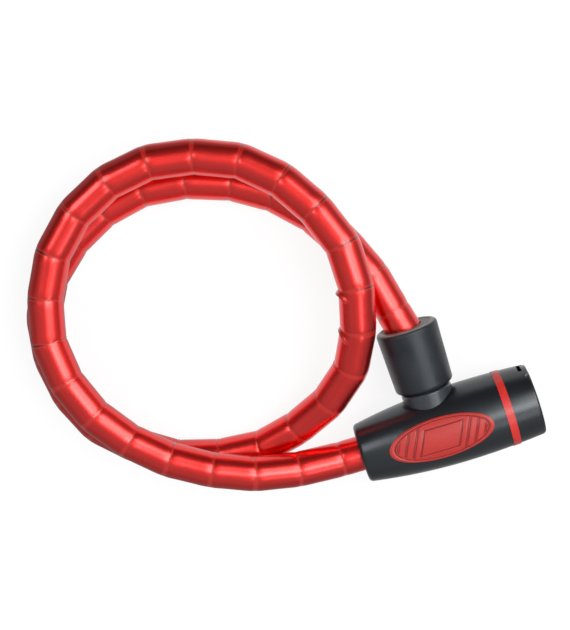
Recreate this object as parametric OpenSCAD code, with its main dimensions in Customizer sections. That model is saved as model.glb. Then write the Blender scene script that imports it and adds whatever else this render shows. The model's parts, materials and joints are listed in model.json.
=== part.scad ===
// Armoured key cable lock, lying closed with its cable coiled on the table.
// The barrel of the lock head runs along X, its plug socket points along +Y and the table is Z = 0.
// Everything is drawn from the middle of the barrel's cable end, and at_origin() moves it to the
// middle of the head's footprint.

/* [Barrel] */
// Length of the lock head, along its barrel
barrel_len = 93; // [90:0.5:98]
// Diameter of the barrel at its cable end
barrel_end_d = 30; // [29:0.5:32]
// Largest diameter of the barrel
barrel_max_d = 40; // [39.5:0.5:43]
// Diameter of the barrel at its key end
key_end_d = 36.5; // [36:0.5:38]
// Distance of the thickest place from the cable end
belly_x = 55; // [52:1:60]
// Length of the cap on the key end
cap_len = 13.8; // [12:0.2:15]
// Width of the coloured ring between shell and cap
ring_w = 3.9; // [3:0.1:6]
// How far the ring stands proud of the barrel
ring_proud = 0.3; // [0.1:0.1:0.8]
// Rounding of the barrel's edge at its cable end
nose_edge_r = 2.4; // [1:0.2:3]
// Rounding of the barrel's edge at its key end
edge_r = 1.4; // [0.6:0.2:1.8]

/* [Badge] */
// Distance of the oval badge from the barrel's cable end
badge_start = 14.3; // [12:0.1:20]
// Distance of the badge from the coloured ring
badge_ring_gap = 7; // [4:0.2:12]
// Width of the oval badge
badge_w = 21; // [16:0.5:24]
// Depth of the badge's seat in the shell
badge_seat = 0.8; // [0.5:0.1:1]
// How far the badge stands proud of the shell
badge_proud = 0.4; // [0.2:0.1:0.8]

/* [Plug and socket] */
// Distance of the plug's axis from the barrel's cable end
stem_x = 41.5; // [40:0.5:44]
// Diameter of the steel neck round the socket
neck_d = 26; // [25.6:0.2:28]
// Height of the neck's top over the barrel's axis
neck_top = 22.7; // [22:0.1:25]
// Diameter of the locking pin
pin_d = 13; // [12:0.2:13.4]
// Diameter of the groove that the latch drops into
groove_d = 9; // [8:0.2:9.4]
// How far the plug pulls out, until its pin leaves the neck
plug_travel = 25.5; // [24.5:0.5:29]
// Largest diameter of the plug's collar, where the cable goes in
collar_d = 31.8; // [31:0.2:34]
// Diameter of the collar beside the neck
collar_low_d = 30; // [29:0.2:31]
// Length of the plug's collar
collar_len = 32.6; // [31:0.2:35]
// Wall of the collar where the cable goes in
collar_wall = 3; // [2.6:0.1:3.4]

/* [Key cylinder] */
// Diameter of the fixed cylinder body
cylinder_d = 28; // [27:0.5:28.5]
// Diameter of the turning key plug
key_plug_d = 13; // [12:0.5:13.5]
// Width of the keyway
keyway_w = 2.4; // [1.8:0.2:2.8]
// Height of the keyway
keyway_h = 8; // [7:0.5:8.5]
// Distance between neighbouring pins
pin_pitch = 4; // [3.6:0.1:4]
// Diameter of the key pins and driver pins
tumbler_d = 2.9; // [2.4:0.1:3]

/* [Latch] */
// Thickness of the latch plate
latch_t = 4; // [3:0.2:4.4]
// How far the latch travels to lock the plug
latch_travel = 5; // [4.6:0.1:5.2]
// Wall of the latch plate round its keyhole
latch_wall = 2; // [1.6:0.1:2.2]

/* [Cable] */
// Outer diameter of the vinyl sleeve
cable_d = 18; // [17.6:0.1:18]
// Outer diameter of the steel armour shells
shell_d = 15.6; // [15:0.2:15.8]
// Diameter of the wire rope
rope_d = 8; // [7:0.2:8]
// Diameter of the crimped rope ends
crimp_d = 13; // [12:0.2:13]

/* [Dust cover] */
// Thickness of the dust cover
cover_t = 2.4; // [2:0.1:2.6]
// Wall of the cap round the dust cover
rim_w = 2.8; // [2.4:0.1:3]
// Diameter of the dust cover's hinge pin
hinge_pin_d = 1.6; // [1.2:0.1:1.8]
// Distance of the hinge pin from the cap's outer surface
hinge_inset = 3; // [2.8:0.1:3.4]

/* [Hidden] */

// Clearances: between fixed pieces, round a turning or sliding shaft, and between faces that pass
fit = 0.05;
run = 0.05;
gap = 0.3;

max_r = barrel_max_d / 2;
end_r = barrel_end_d / 2;
key_r = key_end_d / 2;
cable_r = cable_d / 2;
neck_r = neck_d / 2;
cap_x = barrel_len - cap_len;
ring_x = cap_x - ring_w;
badge_len = ring_x - badge_ring_gap - badge_start;
badge_x = badge_start + badge_len / 2;

// Housing and the shell's bore
shell_wall = 3;
body_r = max_r - shell_wall - fit;
nose_r = end_r - 3.5;
mouth_depth = 11;
mouth_gap = 0.4;
body_lead = 11;
body_x = stem_x - body_lead;
nose_floor = 0.5;

// Latch: its keyhole slides over the locking pin's groove
keyhole_r = pin_d / 2 + 0.15;
slot_r = groove_d / 2 + 0.15;
latch_y = 3;
latch_x = stem_x - keyhole_r - latch_wall;
latch_top = latch_travel + slot_r + latch_wall;
latch_bottom = keyhole_r + latch_wall;
groove_gap = 0.2;
flange_t = 3.6;
housing_web = 1.5;
flange_gap = 0.4;
cylinder_x = stem_x + neck_r + housing_web;
flange_x = cylinder_x - flange_gap - flange_t;
crank_r = latch_travel / 2 * sqrt(2);
crank_pin_d = 3;
crank_slot_gap = 0.25;
flange_bottom = -1.5;
flange_top = 6.5;
flange_low_y = -1.4;
spring_d = 3.2;
spring_wire = 0.5;
spring_turns = 4;

// Neck, locking pin and collar
neck_seat = 9.5;
neck_lip = 1.2;
seal_w = 1.8;
seal_rim = 2.1;
seal_d = (neck_r - seal_rim) * 2 - seal_w;
seal_h = 1.6;
seal_gap = 0.1;
collar_y = neck_top + 1;
collar_end = collar_y + collar_len;
collar_r = collar_d / 2;
collar_low_r = collar_low_d / 2;
collar_bore_r = collar_r - collar_wall;
collar_floor = 2;
collar_chamfer = 1.8;
collar_top_r = 2;
pull_clear = 1.6;
tip_y = neck_top + pull_clear - plug_travel;
tip_taper = 2;
tip_taper_r = 1.5;
socket_floor = 1;
pin_flange_t = 2.6;
pin_boss_r = crimp_d / 2 + 3;
pin_boss_len = 14.6;
pin_boss_end = collar_y + pin_boss_len;
crimp_floor = 0.5;
plug_crimp_y = collar_y + collar_floor + 1 + crimp_floor;
bush_len = 7.3;
bush_recess = 0.2;
bush_gap = 0.4;
cross_pin_d = 2.5;

// Crimped rope ends: a cross pin holds each crimp, and the rope stops short of it
crimp_end_gap = 0.5;
crimp_pin_back = 4.5;
crimp_pin_up = 2.9;
rope_pin_gap = 3.6;
rope_bend_gap = 1.5;
fixed_crimp_x = mouth_depth + crimp_end_gap;
fixed_pin_x = body_x - crimp_pin_back;
plug_pin_y = plug_crimp_y + crimp_pin_up;

// Key cylinder
plug_r = key_plug_d / 2;
cam_r = plug_r + 1.6;
cam_t = 2.5;
cam_face = 0.2;
cam_gap = 0.3;
plug_head_t = 2;
plug_head_r = plug_r + 1.5;
keyhole_depth = 5.6;
cylinder_end = barrel_len - keyhole_depth;
plug_x = cylinder_x + cam_face + cam_t + cam_gap;
// Pins stand a pitch apart in the length between the cam and the plug's head
first_pin_gap = 6;
last_pin_gap = 6;
first_pin_x = cylinder_x + first_pin_gap;
pin_count = floor((cylinder_end - last_pin_gap - first_pin_x) / pin_pitch) + 1;
tumbler_r = tumbler_d / 2;
key_pin_out = 0.1;
driver_len = 3;
coil_wire = 0.4;
coil_turns = 5;
cam_screw_d = 2;
cam_screw_head_d = 3.8;
cam_screw_head_t = 1.2;
cam_screw_len = 8;
grub_d = 4;
grub_x = (cylinder_x + cap_x) / 2;
grub_depth = 3;

// Dust cover on the key end: its hinge tab fills a notch in the cap's rim
recess_r = key_r - rim_w;
recess_depth = 3.2;
recess_x = barrel_len - recess_depth;
hinge_y = key_r - hinge_inset;
knuckle_r = 1.5;
knuckle_gap = 0.2;
hinge_x = recess_x + knuckle_r + knuckle_gap;
hinge_half = 6;
hinge_pin_recess = 1;
tab_t = 2.4;
tab_reach = norm([tab_t / 2, hinge_inset - gap]);
notch_x = hinge_x - tab_reach - gap;
notch_cut = 2.3;
notch_y = hinge_y - notch_cut;
cover_cut = notch_cut + 0.7;
cover_gap = 0.5;
cover_x = recess_x + gap;
cover_r = recess_r - cover_gap;

// Armour shells: each has a ball at one end that sits in the next one's socket
bore_r = rope_d / 2 + 0.6;
ball_r = shell_d / 2 - 0.8;
ball_gap = 0.15;
socket_lip = 1.5;
ball_neck = 4.7;
ball_front = 3;
flare_r = bore_r + 1;
flare_back = 1;
lip_chamfer = 0.3;
lip_chamfer_len = 1.2;
sleeve_gap = 0.2;

// Cable route: the joints between the armour shells, from the lock head to the plug
ROUTE = [
    [9, 0, 20], [-10.5, 0.5, 20.5], [-33, 3, 23.5], [-54.5, 8.5, 26.5],
    [-74.5, 17.5, 27.5], [-93.5, 29.5, 27.5], [-109.5, 45, 27.5], [-122, 63, 27.5],
    [-129.5, 84, 27.5], [-131, 106, 27.5], [-125, 127.5, 27.5], [-114, 147, 27.5],
    [-97, 162.5, 27.5], [-76.5, 172, 27.5], [-54.5, 175, 27.5], [-32.5, 171, 27.5],
    [-11.5, 162, 28.5], [5, 147, 31], [16.5, 128.5, 34], [24, 108, 37],
    [24, 86, 37.5], [18.5, 65, 34.5], [9, 46, 28.5], [-7.5, 31.5, 22],
    [-27, 22, 15], [-48, 16.5, 10], [-70.5, 18.5, 9], [-92, 25, 9],
    [-110, 37.5, 9], [-125.5, 53.5, 9], [-134, 73.5, 9], [-136.5, 95, 9],
    [-133, 116, 9], [-122.5, 134.5, 9], [-105.5, 149, 9], [-86, 158.5, 9],
    [-64, 162.5, 9], [-41.5, 159.5, 9], [-20, 151.5, 9], [-1.5, 139.5, 9.5],
    [14, 123.5, 12], [25, 105.5, 16], [33, 86.5, 19], [37.5, 66, 20],
    [42.2, 46, 20]
];
// The shell at which the free end begins, half way round the lower turn
TAIL_START = 32;
split_gap = 0.02;
LAST = len(ROUTE) - 1;
// The rope runs on past the sleeve into a crimp at either end, so its joints count from one more
ROPE_IN_HEAD = [fixed_pin_x - rope_pin_gap, 0, max_r];
ROPE_BEND = [stem_x, pin_boss_end + rope_bend_gap, max_r];
ROPE_IN_PLUG = [stem_x, plug_pin_y + rope_pin_gap, max_r];
ROPE_ROUTE = concat([ROPE_IN_HEAD], ROUTE, [ROPE_BEND, ROPE_IN_PLUG]);
SLEEVE_SIDES = 12;
ROPE_SIDES = 12;

BLACK = [0.13, 0.13, 0.14];
RED = [0.78, 0.12, 0.12];
STEEL = [0.62, 0.63, 0.65];
ZINC = [0.55, 0.56, 0.58];
BRASS = [0.78, 0.62, 0.3];

$fn = 48;

// ---- Helpers ----

module at_origin() {
    translate([-barrel_len / 2, -(collar_end - max_r) / 2, 0]) children();
}

// Puts what is drawn round the barrel's axis at its height over the table
module on_barrel() {
    at_origin() translate([0, 0, max_r]) children();
}

// A cylinder or tube whose axis runs along X, Y or Z
module rod_x(r, x0, x1) {
    translate([x0, 0, 0]) rotate([0, 90, 0]) cylinder(h = x1 - x0, r = r);
}

module rod_y(r, y0, y1) {
    translate([0, y0, 0]) rotate([-90, 0, 0]) cylinder(h = y1 - y0, r = r);
}

module rod_z(r, z0, z1) {
    translate([0, 0, z0]) cylinder(h = z1 - z0, r = r);
}

// A box between two corners
module block(low, high) {
    translate(low) cube(high - low);
}

// Turns an outline of [radius, position] points into a solid round the X or the Y axis
module turned_x(outline) {
    rotate([0, 90, 0]) rotate_extrude($fn = 96) polygon(outline);
}

module turned_y(outline) {
    rotate([-90, 0, 0]) rotate_extrude($fn = 72) polygon(outline);
}

// The barrel's outer radius at a distance from its cable end
function barrel_r(x) = x < belly_x
    ? max_r - (max_r - end_r) * pow((belly_x - x) / belly_x, 2)
    : max_r - (max_r - key_r) * pow((x - belly_x) / (barrel_len - belly_x), 2);

// Points of the barrel's outer surface from x0 to x1, raised by lift
function barrel_line(x0, x1, steps, lift = 0) = [
    for (i = [0 : steps]) let (x = x0 + (x1 - x0) * i / steps) [barrel_r(x) + lift, x]
];

// A quarter round of radius r about c, from angle a0 to a1, as [radius, position] points
function quarter(c, r, a0, a1, steps = 4) = [
    for (i = [0 : steps]) let (a = a0 + (a1 - a0) * i / steps) [c[0] + r * cos(a), c[1] + r * sin(a)]
];

// A coil spring along Z, standing on the plane z = 0
module coil_spring(d, wire, length, turns, per_turn = 9, sides = 4) {
    mid_r = (d - wire) / 2;
    steps = turns * per_turn;
    rise = (length - wire) / steps;
    points = [
        for (i = [0 : steps]) for (k = [0 : sides - 1])
            let (a = i * 360 / per_turn, b = k * 360 / sides, r = mid_r + wire / 2 * cos(b))
            [r * cos(a), r * sin(a), wire / 2 + i * rise + wire / 2 * sin(b)]
    ];
    solid_tube(points, steps + 1, sides);
}

// ---- Lock head: casing ----

module barrel_shell() {
    outer = concat(
        quarter([barrel_r(nose_edge_r) - nose_edge_r, nose_edge_r], nose_edge_r, -90, 0, 6),
        barrel_line(nose_edge_r * 1.6, ring_x, 18)
    );
    bore = [
        [body_r + fit, ring_x], [body_r + fit, body_x], [nose_r + fit, body_x],
        [nose_r + fit, mouth_depth], [cable_r + mouth_gap, mouth_depth], [cable_r + mouth_gap, 0]
    ];
    color(BLACK) on_barrel() difference() {
        turned_x(concat(outer, bore));
        translate([stem_x, 0, 0]) rod_y(neck_r + fit * 2, 0, max_r + 1);
        badge_block(0);
    }
}

// The badge's place: an oval cut out of a skin that follows the barrel, from the seat up to lift
module badge_block(lift) {
    x0 = badge_x - badge_len / 2 - 1;
    x1 = badge_x + badge_len / 2 + 1;
    intersection() {
        turned_x(concat(
            barrel_line(x0, x1, 14, lift == 0 ? 1 : lift), barrel_line(x1, x0, 14, -badge_seat)
        ));
        translate([badge_x, 0, 0]) linear_extrude(height = max_r + 2)
            polygon([for (a = [0 : 9 : 351]) [badge_len / 2 * cos(a), badge_w / 2 * sin(a)]]);
    }
}

module badge() {
    color(RED) on_barrel() badge_block(badge_proud);
}

module accent_ring() {
    outer = barrel_line(ring_x, cap_x, 4, ring_proud);
    color(RED) on_barrel() turned_x(concat(
        outer, [[body_r + fit, cap_x], [body_r + fit, ring_x]]
    ));
}

module key_end_cap() {
    outer = concat(
        barrel_line(cap_x, barrel_len - edge_r, 5),
        quarter([key_r - edge_r, barrel_len - edge_r], edge_r, 0, 90)
    );
    inner = [
        [recess_r, barrel_len], [recess_r, recess_x], [plug_head_r + gap, recess_x],
        [plug_head_r + gap, cylinder_end], [cylinder_d / 2 + fit, cylinder_end],
        [cylinder_d / 2 + fit, cap_x]
    ];
    color(BLACK) on_barrel() difference() {
        turned_x(concat(outer, inner));
        // notch in the rim that the cover's hinge tab fills, deep enough for the tab to turn in
        block([notch_x, notch_y, -hinge_half - gap], [barrel_len + 1, key_r + 1, hinge_half + gap]);
        translate([hinge_x, hinge_y, 0]) rod_z(hinge_pin_d / 2 + run, -key_r, key_r);
    }
}

module hinge_pin() {
    half = sqrt(pow(key_r, 2) - pow(hinge_y, 2)) - hinge_pin_recess;
    color(STEEL) on_barrel() translate([hinge_x, hinge_y, 0]) rod_z(hinge_pin_d / 2, -half, half);
}

module dust_cover() {
    plate_y = hinge_y - cover_cut;
    color(BLACK) on_barrel() difference() {
        union() {
            intersection() {
                rod_x(cover_r, cover_x, cover_x + cover_t);
                block([cover_x - 1, -key_r, -key_r], [barrel_len + 1, plate_y, key_r]);
            }
            block([cover_x, plate_y, -hinge_half], [cover_x + cover_t, hinge_y, hinge_half]);
            translate([hinge_x, hinge_y, 0]) rod_z(knuckle_r, -hinge_half, hinge_half);
            intersection() {
                rod_x(key_r - gap, hinge_x - tab_t / 2, hinge_x + tab_t / 2);
                block([recess_x, hinge_y, -hinge_half], [barrel_len, key_r, hinge_half]);
            }
        }
        translate([hinge_x, hinge_y, 0]) rod_z(hinge_pin_d / 2 + run, -key_r, key_r);
    }
}

// ---- Lock head: housing ----

module lock_housing() {
    color(ZINC) on_barrel() difference() {
        union() {
            rod_x(nose_r, mouth_depth, body_x);
            rod_x(body_r, body_x, cap_x);
        }
        rod_x(crimp_d / 2 + fit, mouth_depth - 1, body_x - nose_floor);
        translate([fixed_pin_x, 0, 0]) rod_z(cross_pin_d / 2 + fit, -nose_r - 1, nose_r + 1);
        rod_x(cylinder_d / 2 + fit, cylinder_x, cap_x + 1);
        // flat seat of the neck and the socket under it
        translate([stem_x, 0, 0]) {
            rod_y(neck_r + fit, neck_seat, max_r);
            rod_y(pin_d / 2 + run * 2, tip_y - socket_floor, max_r);
        }
        latch_pocket();
        translate([grub_x, 0, 0]) rod_z(grub_d / 2 + fit, -body_r - 1, 0);
    }
}

// Room for the latch and its flange over their whole travel
module latch_pocket() {
    block(
        [latch_x - gap, latch_y - fit, -latch_bottom - latch_travel - gap],
        [cylinder_x + 1, latch_y + latch_t + fit, latch_top + gap]
    );
    block(
        [flange_x - gap, flange_low_y - gap, flange_bottom - latch_travel - gap],
        [cylinder_x + 1, latch_y + latch_t, flange_top + gap]
    );
}

module socket_neck() {
    lip = quarter([neck_r - neck_lip, neck_top - neck_lip], neck_lip, 0, 90);
    seal_in = seal_d / 2 - seal_w / 2;
    seal_out = seal_d / 2 + seal_w / 2;
    seal_floor = collar_y - seal_gap - seal_h;
    color(STEEL) on_barrel() translate([stem_x, 0, 0]) turned_y(concat(
        [[pin_d / 2 + run * 2, neck_seat], [neck_r, neck_seat]], lip,
        [[seal_out + fit, neck_top], [seal_out + fit, seal_floor], [seal_in - fit, seal_floor],
         [seal_in - fit, neck_top], [pin_d / 2 + run * 2, neck_top]]
    ));
}

module neck_seal() {
    color(BLACK) on_barrel() translate([stem_x, 0, 0]) difference() {
        rod_y((seal_d + seal_w) / 2, collar_y - seal_gap - seal_h, collar_y - seal_gap);
        rod_y((seal_d - seal_w) / 2, collar_y - seal_gap - seal_h - 1, collar_y);
    }
}

// ---- Lock head: key cylinder ----

function pin_x(i) = first_pin_x + i * pin_pitch;

module cylinder_body() {
    color(ZINC) on_barrel() difference() {
        rod_x(cylinder_d / 2, cylinder_x, cylinder_end);
        rod_x(plug_r + run, cylinder_x - 1, cylinder_end + 1);
        rod_x(cam_r + gap, cylinder_x - 1, cylinder_x + cam_face + cam_t + cam_gap / 2);
        rod_x(plug_head_r + gap, cylinder_end - plug_head_t - run, cylinder_end + 1);
        for (i = [0 : pin_count - 1])
            translate([pin_x(i), 0, 0]) rod_y(tumbler_r + run, -cylinder_d / 2 - 1, 0);
        translate([grub_x, 0, 0]) rod_z(grub_d / 2 + fit, -cylinder_d / 2 - 1, -cylinder_d / 2 + grub_depth);
    }
}

module cylinder_screw() {
    socket_r = grub_d / 4;
    color(STEEL) on_barrel() translate([grub_x, 0, 0]) difference() {
        rod_z(grub_d / 2, -body_r + gap, -cylinder_d / 2 + grub_depth);
        translate([0, 0, -body_r - 1]) cylinder(h = 3, r = socket_r, $fn = 6);
    }
}

module driver_pins() {
    top = plug_r + run + fit;
    color(BRASS) on_barrel() for (i = [0 : pin_count - 1])
        translate([pin_x(i), 0, 0]) rod_y(tumbler_r, -top - driver_len, -top);
}

module pin_springs() {
    top = plug_r + run + fit + driver_len;
    length = cylinder_d / 2 - top;
    color(STEEL) on_barrel() for (i = [0 : pin_count - 1])
        translate([pin_x(i), -top, 0]) rotate([90, 0, 0])
            coil_spring(tumbler_d - 0.2, coil_wire, length, coil_turns);
}

module key_plug() {
    slot_low = -keyway_h / 2 + 0.5;
    color(BRASS) on_barrel() difference() {
        union() {
            rod_x(plug_r, plug_x, cylinder_end);
            rod_x(plug_head_r, cylinder_end - plug_head_t, cylinder_end);
        }
        block(
            [plug_x + 4, -keyway_w / 2, slot_low],
            [cylinder_end + 1, keyway_w / 2, slot_low + keyway_h]
        );
        for (i = [0 : pin_count - 1])
            translate([pin_x(i), 0, 0]) rod_z(tumbler_r + run, -plug_r - 1, 0);
        rod_x(cam_screw_d / 2 + fit, plug_x - 1, plug_x + 4);
    }
}

// Pins of different lengths, whose outer ends lie at the plug's surface
module key_pins() {
    out = plug_r - key_pin_out;
    color(BRASS) on_barrel() for (i = [0 : pin_count - 1]) {
        length = 3.2 + (i * 2 % 5) * 0.4;
        translate([pin_x(i), 0, -out]) {
            cylinder(h = length - tumbler_r / 2, r = tumbler_r);
            translate([0, 0, length - tumbler_r / 2])
                cylinder(h = tumbler_r / 2, r1 = tumbler_r, r2 = tumbler_r / 2);
        }
    }
}

module drive_cam() {
    face = cylinder_x + cam_face;
    color(STEEL) on_barrel() difference() {
        union() {
            rod_x(cam_r, face, face + cam_t);
            translate([0, crank_r * cos(45), crank_r * sin(45)])
                rod_x(crank_pin_d / 2, flange_x + 0.4, face + fit);
        }
        rod_x(cam_screw_d / 2 + fit, face - 1, face + cam_t + 1);
        rod_x(cam_screw_head_d / 2 + fit, face - 1, face + cam_screw_head_t);
    }
}

module cam_screw() {
    face = cylinder_x + cam_face;
    color(STEEL) on_barrel() difference() {
        union() {
            rod_x(cam_screw_head_d / 2, face, face + cam_screw_head_t);
            rod_x(cam_screw_d / 2, face, min(face + cam_screw_len, plug_x + 4));
        }
        block([face - 1, -0.3, -cam_screw_head_d / 2 - 1], [face + 0.5, 0.3, cam_screw_head_d / 2 + 1]);
    }
}

// ---- Lock head: latch ----

module latch() {
    slot_mid = latch_travel / 2;
    slot_half = (crank_pin_d / 2) + crank_slot_gap;
    color(STEEL) on_barrel() difference() {
        union() {
            block([latch_x, latch_y, -latch_bottom], [flange_x + fit, latch_y + latch_t, latch_top]);
            block(
                [flange_x, flange_low_y, flange_bottom],
                [flange_x + flange_t, latch_y + latch_t, flange_top]
            );
        }
        // keyhole: the round end lets the pin through, the slot holds its groove
        translate([stem_x, 0, 0]) rod_y(keyhole_r, latch_y - 1, latch_y + latch_t + 1);
        translate([stem_x, 0, latch_travel]) rod_y(slot_r, latch_y - 1, latch_y + latch_t + 1);
        block(
            [stem_x - slot_r, latch_y - 1, 0],
            [stem_x + slot_r, latch_y + latch_t + 1, latch_travel]
        );
        // slot for the drive cam's pin
        block(
            [flange_x - 1, slot_mid - crank_pin_d / 2 - gap, slot_mid - slot_half],
            [flange_x + flange_t + 1, crank_r + crank_pin_d / 2 + gap, slot_mid + slot_half]
        );
    }
}

module latch_spring() {
    color(STEEL) on_barrel()
        translate([flange_x + flange_t / 2, latch_y + latch_t / 2, flange_top])
            coil_spring(spring_d, spring_wire, latch_top + gap - flange_top, spring_turns);
}

// ---- Plug on the cable's free end ----

module locking_pin() {
    groove_low = latch_y - groove_gap;
    groove_high = latch_y + latch_t + groove_gap;
    seat = collar_y + collar_floor;
    color(STEEL) on_barrel() translate([stem_x, 0, 0]) difference() {
        turned_y([
            [0, tip_y], [pin_d / 2 - tip_taper_r, tip_y], [pin_d / 2, tip_y + tip_taper],
            [pin_d / 2, groove_low], [groove_d / 2, groove_low], [groove_d / 2, groove_high],
            [pin_d / 2, groove_high], [pin_d / 2, seat], [collar_bore_r - fit, seat],
            [collar_bore_r - fit, seat + pin_flange_t], [pin_boss_r, seat + pin_flange_t],
            [pin_boss_r, pin_boss_end], [0, pin_boss_end]
        ]);
        rod_y(crimp_d / 2 + fit, plug_crimp_y - crimp_floor, pin_boss_end + 1);
        translate([0, plug_pin_y, 0]) rod_z(cross_pin_d / 2 + fit, -pin_boss_r - 1, pin_boss_r + 1);
    }
}

module collar() {
    pin_hole_r = pin_d / 2 + 0.2;
    color(BLACK) on_barrel() translate([stem_x, 0, 0]) turned_y(concat(
        [[pin_hole_r, collar_y]],
        quarter([collar_low_r - collar_chamfer, collar_y + collar_chamfer], collar_chamfer, -90, 0),
        quarter([collar_r - collar_top_r, collar_end - collar_top_r], collar_top_r, 0, 90),
        [[collar_bore_r, collar_end], [collar_bore_r, collar_y + collar_floor],
         [pin_hole_r, collar_y + collar_floor]]
    ));
}

// The bush closes the collar round the cable, and its bore leans with the cable's last link
module collar_bush() {
    top = collar_end - bush_recess;
    color(BLACK) difference() {
        on_barrel() translate([stem_x, 0, 0]) rod_y(collar_bore_r - fit, top - bush_len, top);
        at_origin() along_link(LAST - 1) rod_x(cable_r + bush_gap, 0, link_length(LAST - 1));
    }
}

// ---- Crimped rope ends ----

module fixed_crimp() {
    color(ZINC) on_barrel() difference() {
        rod_x(crimp_d / 2, fixed_crimp_x, body_x - nose_floor);
        rod_x(rope_d / 2 + fit, fixed_crimp_x - 1, ROPE_IN_HEAD[0]);
        translate([fixed_pin_x, 0, 0]) rod_z(cross_pin_d / 2 + fit, -crimp_d, crimp_d);
    }
}

module fixed_crimp_pin() {
    color(STEEL) on_barrel() translate([fixed_pin_x, 0, 0])
        rod_z(cross_pin_d / 2, -nose_r + gap, nose_r - gap);
}

module plug_crimp() {
    color(ZINC) on_barrel() translate([stem_x, 0, 0]) difference() {
        rod_y(crimp_d / 2, plug_crimp_y - crimp_floor, pin_boss_end);
        rod_y(rope_d / 2 + fit, ROPE_IN_PLUG[1], pin_boss_end + 1);
        translate([0, plug_pin_y, 0]) rod_z(cross_pin_d / 2 + fit, -crimp_d, crimp_d);
    }
}

module plug_crimp_pin() {
    color(STEEL) on_barrel() translate([stem_x, plug_pin_y, 0])
        rod_z(cross_pin_d / 2, -pin_boss_r + gap, pin_boss_r - gap);
}

// ---- Cable ----

function unit(v) = v / norm(v);
function heading(path, i) = unit(path[i + 1] - path[i]);
function bisector(path, i) =
    i == 0 ? heading(path, 0)
    : i == len(path) - 1 ? heading(path, i - 1)
    : unit(heading(path, i - 1) + heading(path, i));
// How much a mitred ring is stretched across the bend at a joint
function mitre(path, i) =
    i == 0 || i == len(path) - 1 ? 1 : 1 / (heading(path, i) * bisector(path, i));

// A ring of points square to the path at joint i, or a little ahead of it
function ring(path, i, r, sides, ahead = 0) =
    let (
        t = bisector(path, i), side = unit(cross([0, 0, 1], t)), up = cross(t, side), m = mitre(path, i),
        middle = path[i] + (ahead == 0 ? [0, 0, 0] : heading(path, i) * ahead)
    )
    [for (k = [0 : sides - 1]) middle + side * (r * m * cos(k * 360 / sides)) + up * (r * sin(k * 360 / sides))];

// Faces of a tube wall between rings that start at point number base
function tube_walls(rings, sides, base, inward = false) = [
    for (i = [0 : rings - 2]) for (k = [0 : sides - 1])
        let (n = (k + 1) % sides, a = base + i * sides, b = a + sides)
        each inward
            ? [[a + k, a + n, b + n], [a + k, b + n, b + k]]
            : [[a + k, b + n, a + n], [a + k, b + k, b + n]]
];

// A solid tube through rings of points, closed at both ends
module solid_tube(points, rings, sides) {
    start = [for (k = [0 : sides - 1]) k];
    finish = [for (k = [sides - 1 : -1 : 0]) (rings - 1) * sides + k];
    polyhedron(points, concat(tube_walls(rings, sides, 0), [start], [finish]));
}

// A solid round rope along a path, from joint a to joint b, that starts a little ahead of a
module rope(path, a, b, r, sides, ahead = 0) {
    points = [for (i = [a : b]) each ring(path, i, r, sides, i == a ? ahead : 0)];
    solid_tube(points, b - a + 1, sides);
}

// A hollow sleeve along a path, from joint a to joint b, that starts a little ahead of a
module sleeve(path, a, b, r_out, r_in, sides, ahead = 0) {
    rings = b - a + 1;
    inner = rings * sides;
    end = (rings - 1) * sides;
    points = concat(
        [for (i = [a : b]) each ring(path, i, r_out, sides, i == a ? ahead : 0)],
        [for (i = [a : b]) each ring(path, i, r_in, sides, i == a ? ahead : 0)]
    );
    start = [
        for (k = [0 : sides - 1]) let (n = (k + 1) % sides)
            each [[k, n, inner + n], [k, inner + n, inner + k]]
    ];
    finish = [
        for (k = [0 : sides - 1]) let (n = (k + 1) % sides)
            each [[end + k, inner + end + n, end + n], [end + k, inner + end + k, inner + end + n]]
    ];
    polyhedron(points, concat(
        tube_walls(rings, sides, 0), tube_walls(rings, sides, inner, true), start, finish
    ));
}

// One armour shell of the given length between its two joints, along X from its socket's centre
module armour_shell(length) {
    outer = shell_d / 2;
    socket_r = ball_r + ball_gap;
    lip_a = asin(socket_lip / socket_r);
    floor_a = acos(bore_r / socket_r);
    back_a = asin(ball_neck / ball_r);
    front_a = asin(ball_front / ball_r);
    turned_x(concat(
        [for (i = [0 : 5]) let (a = floor_a - (floor_a + lip_a) * i / 5) [socket_r * cos(a), socket_r * sin(a)]],
        [[outer - lip_chamfer, -socket_lip], [outer, lip_chamfer_len - socket_lip], [outer, length - ball_neck]],
        [for (i = [0 : 5]) let (a = -back_a + (back_a + front_a) * i / 5)
            [ball_r * cos(a), length + ball_r * sin(a)]],
        [[flare_r, length + ball_front], [bore_r, length - flare_back]]
    ));
}

function link_length(i) = norm(ROUTE[i + 1] - ROUTE[i]);

// Puts what is drawn along X onto the link of the route that starts at joint i
module along_link(i) {
    d = ROUTE[i + 1] - ROUTE[i];
    translate(ROUTE[i]) rotate([0, -asin(d[2] / norm(d)), atan2(d[1], d[0])]) children();
}

module shells(from, to) {
    for (i = [from : to]) along_link(i) armour_shell(link_length(i));
}

module armour_shells() {
    color(STEEL) at_origin() shells(0, TAIL_START - 1);
}

module armour_shells_tail() {
    color(STEEL) at_origin() shells(TAIL_START, LAST - 1);
}

sleeve_in_r = (shell_d / 2 + sleeve_gap) / cos(180 / SLEEVE_SIDES);

module cable_sleeve() {
    color(RED) at_origin() sleeve(ROUTE, 0, TAIL_START, cable_r, sleeve_in_r, SLEEVE_SIDES);
}

module cable_sleeve_tail() {
    color(RED) at_origin() sleeve(ROUTE, TAIL_START, LAST, cable_r, sleeve_in_r, SLEEVE_SIDES, split_gap);
}

module wire_rope() {
    color(STEEL) at_origin() rope(ROPE_ROUTE, 0, TAIL_START + 1, rope_d / 2, ROPE_SIDES);
}

module wire_rope_tail() {
    color(STEEL) at_origin()
        rope(ROPE_ROUTE, TAIL_START + 1, len(ROPE_ROUTE) - 1, rope_d / 2, ROPE_SIDES, split_gap);
}

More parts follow.
